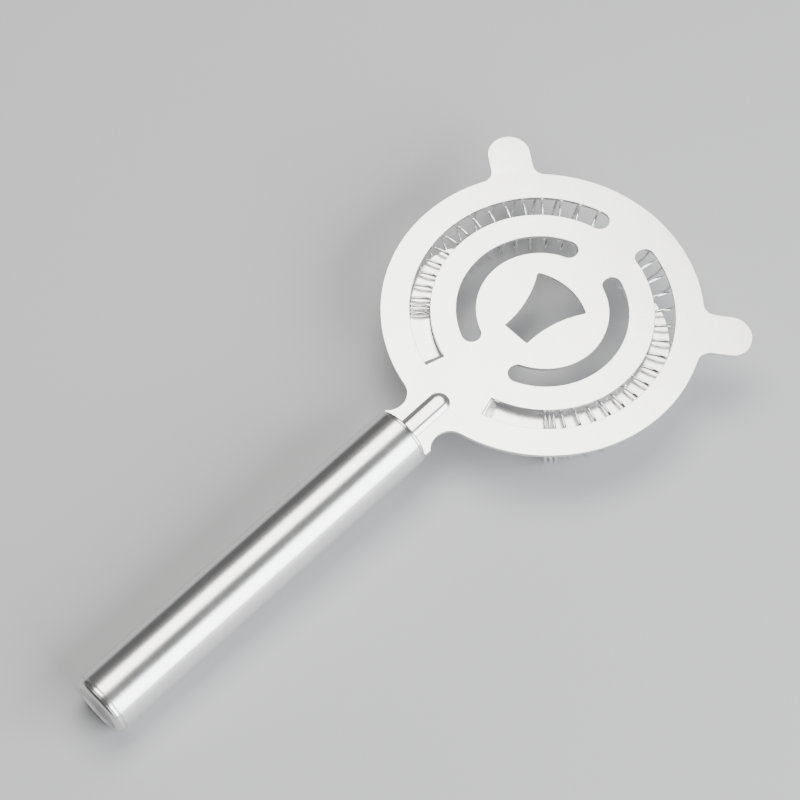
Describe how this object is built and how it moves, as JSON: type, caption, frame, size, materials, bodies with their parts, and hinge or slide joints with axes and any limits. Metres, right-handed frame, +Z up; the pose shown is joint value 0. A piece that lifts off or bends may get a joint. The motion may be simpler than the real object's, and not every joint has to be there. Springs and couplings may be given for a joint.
{
  "type": "hawthorne strainer",
  "caption": "Bar strainer: slotted steel disc with two ears, a ring of coil spring underneath and a hollow round tube handle.",
  "frame": {"origin": "centre of the disc on the plate's underside, where the plate seats on a tin's rim", "axes": "+X away from the handle to the front of the disc, +Y to the left ear seen from above, +Z up out of the plate"},
  "size_m": [0.2212, 0.102, 0.0271],
  "materials": {
    "plate_steel": "satin",
    "tube_steel": "satin, brushed round the tube",
    "cap_steel": "turned and polished",
    "spring_wire": "bright drawn wire"
  },
  "bodies": {
    "plate": {"strainer_plate": "plate_steel", "handle_front_cap": "cap_steel", "handle_tube": "tube_steel", "handle_end_cap": "cap_steel"},
    "spring": {"coil_spring": "spring_wire"}
  },
  "joints": [
    {"name": "spring_press", "type": "slide", "parent": "plate", "child": "spring", "axis": [-1, 0, 0], "range_m": [0, 0.005], "stiffness_N_per_m": 400, "deforming": ["coil_spring"]}
  ]
}
